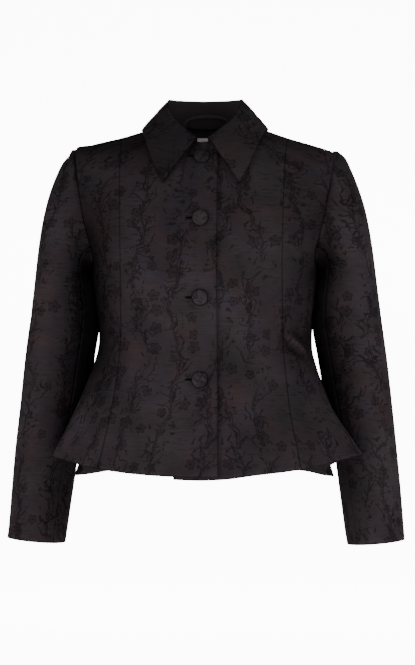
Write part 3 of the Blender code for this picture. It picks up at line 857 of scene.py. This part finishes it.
def settle_peplum(points):
    """Moves the right side's back flute and the left side's front corner further out."""
    turn = np.degrees(np.arctan2(points[:, 0], -points[:, 1]))
    flute = hump(turn, -FLUTE_TURN, FLUTE_SPREAD)
    low = np.interp(points[:, 2], *PEPLUM_HEIGHTS)
    points[:, 0] -= FLUTE_SHIFT * flute * low
    corner = hump(turn, CORNER_TURN, CORNER_SPREAD) * low
    points[:, 0] += CORNER_SHIFT * corner
    points[:, 2] += CORNER_LIFT * corner


def fullness_at(z, column):
    table = np.array(UNDERARM_FULLNESS)
    return np.interp(z, table[:, 0], table[:, column])


def crease_depth(u, v, start, end, half_width):
    """How far each place of the cloth is pulled into a crease, from 0 to 1, soft at its ends."""
    run = np.subtract(end, start)
    length = np.linalg.norm(run)
    offset = np.column_stack([u - start[0], v - start[1]])
    share = np.clip(offset @ run / length ** 2, 0.0, 1.0)
    distance = np.linalg.norm(offset - share[:, None] * run, axis=1)
    profile = np.exp(-((distance / half_width) ** 2))
    taper = 0.35 + 0.65 * np.sin(math.pi * np.clip(share, 0.04, 0.96)) ** 0.7
    return profile * taper


def soft_unevenness(points, size, seed, depth):
    """Slow waves of worn cloth, longer up the grain than across it."""
    shift = Vector((seed, seed * 2.3, seed * 0.7))
    scale = (1 / size, 1 / size, 0.45 / size)
    return np.array([noise.noise(Vector(p * scale) + shift) for p in points]) * depth


def set_cloth_map(mesh, u, v):
    layer = mesh.uv_layers.new(name="cloth")
    loops = np.empty(len(mesh.loops), dtype=np.int64)
    mesh.loops.foreach_get("vertex_index", loops)
    layer.data.foreach_set("uv", (np.column_stack([u, v])[loops] * MM).ravel())


def set_values(mesh, **values):
    """Stores a number for each point of the mesh under each name."""
    for name, numbers in values.items():
        layer = mesh.attributes.new(name, "FLOAT", "POINT")
        layer.data.foreach_set("value", np.broadcast_to(numbers, len(mesh.vertices)).astype(np.float32))


def hump(value, middle, spread):
    """1 at the middle, falling away softly over the spread on both sides."""
    return np.exp(-(((value - middle) / spread) ** 2))


def line_inside(mesh, out, distances):
    """Gives the second material to the faces that look into the garment, but not to the wall's edges."""
    for face in mesh.polygons:
        corners = list(face.vertices)
        direction = Vector(out[corners].mean(axis=0))
        on_edge = distances[corners].max() < EDGE_FACE_REACH
        face.material_index = int(face.normal.dot(direction) < 0 and not on_edge)


def place_piece(mesh, name, node, materials):
    piece = bpy.data.objects.new(name, mesh)
    bpy.context.scene.collection.objects.link(piece)
    for material in materials:
        mesh.materials.append(material)
    mesh.polygons.foreach_set("use_smooth", [True] * len(mesh.polygons))
    mesh.set_sharp_from_angle(angle=math.radians(RIM_ANGLE))
    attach(piece, "root")
    if node:
        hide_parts(node)
    return piece


def crease_ends(angle_1, z_1, angle_2, z_2):
    """The two ends of a crease of the body, as places on the cloth in mm."""
    ends = np.interp(np.radians([angle_1, angle_2]), PLAN_TURNS, PLAN_ALONG)
    return (ends[0], z_1), (ends[1], z_2)


def body_painted_light(points, turn, along, height):
    """Painted light and shade on the body's cloth: painted shadow of the sleeves beside them, painted shade
    on the right shoulder, a tone darker towards the top of the chest, and painted highlights and shade
    along some creases.
    """
    on_right = points[:, 0].mean() < 0
    # Painted shadow cast by the sleeves on the body's sides, between these heights
    beside = np.interp(points[:, 2], *SIDE_HEIGHTS)
    near_side = np.exp(-(((np.degrees(np.abs(turn)) - SIDE_TURN) / SIDE_SPREAD) ** 4))
    painted_tones = 1 - SIDE_SHADE[0 if on_right else 1] * beside * near_side
    # A tone darker towards the top of the chest
    painted_tones *= np.interp(points[:, 2], *CHEST_TONES)
    # Painted highlights on the ridges and painted shade in the troughs of these creases
    for *ends, half_width, painted_light_gain in CREASE_GLINTS:
        painted_tones *= 1 + painted_light_gain * crease_depth(along, height, *crease_ends(*ends), half_width)
    # Painted shade on the right shoulder
    shoulder = np.interp(points[:, 2], *SHOULDER_HEIGHTS) * (points[:, 0] < 0)
    return painted_tones * (1 - SHOULDER_SHADE * shoulder)


def add_body_panel(node, materials):
    mesh = smooth_cloth(node, node + "_cloth")
    points = points_of(mesh)
    turn, along, height, out = body_grain(points)
    panel_turn = np.arctan2(np.sin(turn).mean(), np.cos(turn).mean())
    middle = np.interp(panel_turn, PLAN_TURNS, PLAN_ALONG)
    if node.startswith("back"):
        middle = math.copysign(PLAN_ALONG[-1], points[:, 0].mean())
    spread = np.hypot(points[:, 0], points[:, 1]) / np.interp(turn, PLAN_TURNS, PLAN_RADIUS)
    grain = middle + (along - middle) * np.where(height < WAIST_HEIGHT, spread, 1.0)
    moved = soft_unevenness(points, *BODY_WAVES)
    for *ends, half_width, depth in BODY_CREASES:
        moved -= depth * crease_depth(along, height, *crease_ends(*ends), half_width)
    distances = rim_distances(mesh)
    widen_edges(mesh, points, distances)
    hold = np.clip(distances / BODY_HOLD, LEAST_HOLD, 1.0)
    side_on = hump(np.degrees(np.abs(turn)), FULLNESS_TURN, FULLNESS_SPREAD)
    fullness = side_on * fullness_at(points[:, 2], 1)
    points += out * (moved * hold + fullness)[:, None]
    raise_shoulder(points, LEFT_TIP_RISE if points[:, 0].mean() > 0 else SHOULDER_TIP_RISE)
    drop_shoulder(points)
    settle_peplum(points)
    mesh.vertices.foreach_set("co", (points * MM).ravel())
    mesh.update()
    set_cloth_map(mesh, grain, height)
    set_values(mesh, seam=distances, shade=body_painted_light(points, turn, along, height))
    piece = place_piece(mesh, node + "_cloth", node, materials)
    line_inside(mesh, out, distances)


def add_sleeve_panel(node, side, flat, area, materials):
    mesh = smooth_cloth(node, node + "_cloth")
    points = points_of(mesh)
    turn, along, height, out = sleeve_grain(points, side)
    size, seed, wave_depth = SLEEVE_WAVES
    moved = soft_unevenness(points, size, seed + side, wave_depth)
    for crease_side, turn_1, z_1, turn_2, z_2, half_width, depth in SLEEVE_CREASES:
        if crease_side == side:
            start, end = np.radians([turn_1, turn_2]) * SLEEVE_RADIUS
            level = height / SLEEVE_SLANT
            moved -= depth * crease_depth(along, level, (start, z_1), (end, z_2), half_width)
    distances = rim_distances(mesh)
    widen_edges(mesh, points, distances)
    hold = np.clip(distances / SLEEVE_HOLD, LEAST_HOLD, 1.0)
    inner_side = np.clip(-np.cos(turn), 0.0, 1.0)
    fullness = inner_side * fullness_at(points[:, 2], 2)
    points += out * (moved * hold + fullness)[:, None]
    high = raise_shoulder(points, LEFT_HEAD_RISE if side > 0 else SLEEVE_HEAD_RISE)
    if side > 0:
        near_head = np.clip((TUCK_END - points[:, 0]) / TUCK_RUN, 0.0, 1.0)
        points[:, 0] -= LEFT_HEAD_TUCK * high * near_head
    outer_side = np.clip(np.cos(turn), 0.0, 1.0)
    low = np.interp(points[:, 2], *SPREAD_HEIGHTS) * (SPREAD_LEAST + (1 - SPREAD_LEAST) * outer_side)
    points[:, 0] += side * (LEFT_SLEEVE_SPREAD if side > 0 else RIGHT_SLEEVE_SPREAD) * low
    drop_shoulder(points)
    mesh.vertices.foreach_set("co", (points * MM).ravel())
    mesh.update()
    if "under" in node:
        along = np.where(along < 0, along + 2 * math.pi * SLEEVE_RADIUS, along)
    set_cloth_map(mesh, (along + SLEEVE_MAP_START) * side, height)
    lowest, highest = PLAIN_SEAM_HEIGHTS
    plain = (height > lowest) & (height < highest)
    seam = np.where(plain, np.maximum(distances, FLAT_SEAM), distances)
    # Painted shade on the sleeve's inner side, turned towards the body, and the left sleeve painted lighter
    inner_share = np.clip((INNER_FROM - np.cos(turn)) / INNER_FADE, 0.0, 1.0)
    shade = SLEEVE_SHADE * inner_share * np.interp(points[:, 2], *SLEEVE_HEIGHTS)
    set_values(mesh, seam=seam, shade=(LEFT_SLEEVE_PAINTED_LIGHT if side > 0 else 1.0) * (1 - shade))
    piece = place_piece(mesh, node + "_cloth", node, materials)
    line_inside(mesh, out, distances)


def add_collar(materials):
    mesh = smooth_cloth("collar", "collar_cloth", rim_angle=COLLAR_RIM_ANGLE)
    points = points_of(mesh)
    x, y, z = points.T
    turn = np.arctan2(x, -y)
    fall = np.hypot(np.hypot(x, y) - COLLAR_ROLL_RADIUS, z - COLLAR_ROLL_HEIGHT)
    flatter = np.clip((np.abs(x) - COLLAR_FLAT_FROM) / COLLAR_FLAT_RUN, 0.0, 1.0)
    flatter *= np.clip(z / COLLAR_FLAT_HEIGHT, 0.0, 1.0)
    points[:, 0] -= np.sign(x) * COLLAR_FLATTENING * flatter
    mesh.vertices.foreach_set("co", (points * MM).ravel())
    set_cloth_map(mesh, turn * COLLAR_MAP_RADIUS + COLLAR_MAP_START, -fall)
    seam = rim_distances(mesh) * COLLAR_SEAM_AND_SHADE_GAIN
    # Painted shade on the right half of the collar
    set_values(mesh, seam=seam, shade=np.where(x < 0, RIGHT_COLLAR_PAINTED_SHADE, 1.0))
    piece = place_piece(mesh, "collar_cloth", "collar", materials)
    for face in mesh.polygons:
        centre = np.array(face.center) / MM
        inward = face.normal.x * centre[0] + face.normal.y * centre[1] < 0
        face.material_index = int(inward and math.hypot(centre[0], centre[1]) < STAND_REACH)


def add_small_cloth(node, material):
    mesh = smooth_cloth(node, node + "_cloth", levels=1)
    piece = place_piece(mesh, node + "_cloth", node, (material,))


def add_button(number, material):
    node = f"button_{number}"
    mesh = smooth_cloth(node, node + "_covered")
    points = points_of(mesh)
    shift_u, shift_v = BUTTON_MAP_SHIFT
    u = points[:, 0] + shift_u * number
    v = points[:, 2] * SLEEVE_SLANT + shift_v * number
    set_cloth_map(mesh, u, v)
    middle = points.mean(axis=0)
    reach = np.hypot(points[:, 0] - middle[0], points[:, 2] - middle[2])
    from_rim = reach.max() - reach
    # Painted shadow of the collar on the top button
    tone = TOP_BUTTON_PAINTED_SHADOW if number == 1 else 1.0
    # Painted shadow darkening each button towards its rim
    shade = tone * np.clip(from_rim / BUTTON_RIM_SHADOW_WIDTH, BUTTON_RIM_SHADOW_TONE, 1.0)
    set_values(mesh, seam=from_rim * BUTTON_RIM_SHADE_AND_DIP_GAIN * MM, shade=shade)
    place_piece(mesh, node + "_covered", node, (material,))


def add_buttonhole(number, front, material):
    """A worked buttonhole: two rows of stitches round a slit, laid on the front."""
    low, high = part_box(f"button_{number}")
    middle_z = (low[2] + high[2]) / 2
    middle_x = (low[0] + high[0]) / 2 - HOLE_OFFSET
    bm = bmesh.new()
    bmesh.ops.create_grid(bm, x_segments=HOLE_COLUMNS, y_segments=HOLE_ROWS, size=1.0)
    for vert in bm.verts:
        u, v = vert.co.x, vert.co.y
        x = middle_x + u * HOLE_HALF_LENGTH
        z = middle_z + v * HOLE_HALF_WIDTH * math.sqrt(max(1.0 - abs(u) ** 6, HOLE_END_WIDTH))
        hit = front.ray_cast(Vector((x, -1.0, z)), Vector((0.0, 1.0, 0.0)))
        slit = 1 - HOLE_SLIT_DEPTH * math.exp(-((v / HOLE_SLIT_WIDTH) ** 2))
        lift = HOLE_LIFT * slit * math.sqrt(max(1 - v ** 4, 0.0))
        vert.co = Vector((x, hit[0].y - lift - HOLE_CLEARANCE, z))
    mesh = bpy.data.meshes.new(f"buttonhole_{number}")
    bmesh.ops.recalc_face_normals(bm, faces=bm.faces)
    bm.to_mesh(mesh)
    bm.free()
    place_piece(mesh, f"buttonhole_{number}", None, (material,))


def add_stage(material):
    """A pale floor that sweeps up into a lit wall far behind the blazer."""
    floor = cad_box[0][2] - FLOOR_CLEARANCE
    bm = bmesh.new()
    bmesh.ops.create_grid(bm, x_segments=1, y_segments=64, size=1.0)
    for vert in bm.verts:
        run = (vert.co.y + 1) / 2 * SWEEP_LENGTH
        turn = min(max(run - SWEEP_FLAT, 0.0) / SWEEP_RADIUS, math.pi / 2)
        climb = max(run - SWEEP_FLAT - SWEEP_RADIUS * math.pi / 2, 0.0)
        y = SWEEP_START + min(run, SWEEP_FLAT) + SWEEP_RADIUS * math.sin(turn)
        z = floor + SWEEP_RADIUS * (1 - math.cos(turn)) + climb
        vert.co = Vector((vert.co.x * SWEEP_HALF_WIDTH, y, z))
    mesh = bpy.data.meshes.new("backdrop")
    bm.to_mesh(mesh)
    bm.free()
    mesh.materials.append(material)
    mesh.polygons.foreach_set("use_smooth", [True] * len(mesh.polygons))
    backdrop = bpy.data.objects.new("backdrop", mesh)
    bpy.context.scene.collection.objects.link(backdrop)


def add_camera():
    camera = bpy.data.objects.new("camera", bpy.data.cameras.new("camera"))
    bpy.context.scene.collection.objects.link(camera)
    turn = math.radians(CAMERA_AZIMUTH)
    offset = Vector((math.sin(turn), -math.cos(turn), 0.0)) * CAMERA_DISTANCE
    camera.location = VIEW_CENTRE + offset
    camera.rotation_euler = (math.radians(90), 0.0, turn)
    camera.data.sensor_fit = "VERTICAL"
    height = PHOTO_HEIGHT * MM_PER_PIXEL * MM
    camera.data.sensor_height = SENSOR_HEIGHT
    camera.data.lens = SENSOR_HEIGHT * CAMERA_DISTANCE / height
    bpy.context.scene.camera = camera


def add_light(name, place, target, size, power):
    light = bpy.data.lights.new(name, "AREA")
    light.shape = "RECTANGLE"
    light.size, light.size_y = size
    light.energy = power
    lamp = bpy.data.objects.new(name, light)
    lamp.location = place
    lamp.rotation_euler = (Vector(target) - Vector(place)).to_track_quat("-Z", "Y").to_euler()
    bpy.context.scene.collection.objects.link(lamp)


def add_world():
    world = bpy.data.worlds.new("studio")
    bpy.context.scene.world = world
    world.use_nodes = True
    back = world.node_tree.nodes["Background"]
    back.inputs["Color"].default_value = (1.0, 1.0, 1.0, 1.0)
    back.inputs["Strength"].default_value = WORLD_STRENGTH


# Cut of each body panel: node stem, flat width and length in metres, area in square metres
BODY_CUTS = (
    ("front", (0.20, 0.58), 0.088),
    ("side_front", (0.19, 0.54), 0.059),
    ("side_back", (0.205, 0.57), 0.070),
    ("back", (0.16, 0.59), 0.067),
)
TOP_SLEEVE_CUT = ((0.23, 0.62), 0.119)
UNDER_SLEEVE_CUT = ((0.14, 0.49), 0.047)


def main():
    add_camera()
    # Copies of one brocade, darker on the sleeves and collar as painted shade and lighter on the buttons as
    # painted light
    brocade = brocade_material("woven_jacquard_brocade", 0.98, 0.9)
    shaded_sleeve_brocade = brocade_material("woven_jacquard_brocade_sleeves_painted_shade", 0.91, 0.95)
    shaded_collar_brocade = brocade_material("woven_jacquard_brocade_collar_painted_shade", 0.8, 0.85)
    lit_button_brocade = brocade_material("woven_jacquard_brocade_buttons_painted_light", 1.15, 0.8)
    lining = lining_material()
    thread = thread_material()
    for side, suffix in ((-1, "right"), (1, "left")):
        for stem, flat, area in BODY_CUTS:
            add_body_panel(f"{stem}_{suffix}", (brocade, lining))
        add_sleeve_panel(f"top_sleeve_{suffix}", side, *TOP_SLEEVE_CUT, (shaded_sleeve_brocade, lining))
        add_sleeve_panel(f"under_sleeve_{suffix}", side, *UNDER_SLEEVE_CUT, (shaded_sleeve_brocade, lining))
    add_collar((shaded_collar_brocade, lining))
    add_small_cloth("back_neck_facing", lining)
    add_small_cloth("hanger_loop", cord_material())
    add_small_cloth("neck_label", label_material())
    front_mesh = bpy.data.objects["front_right_cloth"].data
    front = BVHTree.FromPolygons(
        [vert.co for vert in front_mesh.vertices], [tuple(face.vertices) for face in front_mesh.polygons]
    )
    for number in range(1, 5):
        add_button(number, lit_button_brocade)
        add_buttonhole(number, front, thread)
    add_stage(paper_material())
    add_world()
    for name, place, size, power in LIGHTS:
        add_light(name, place, VIEW_CENTRE, size, power)


main()
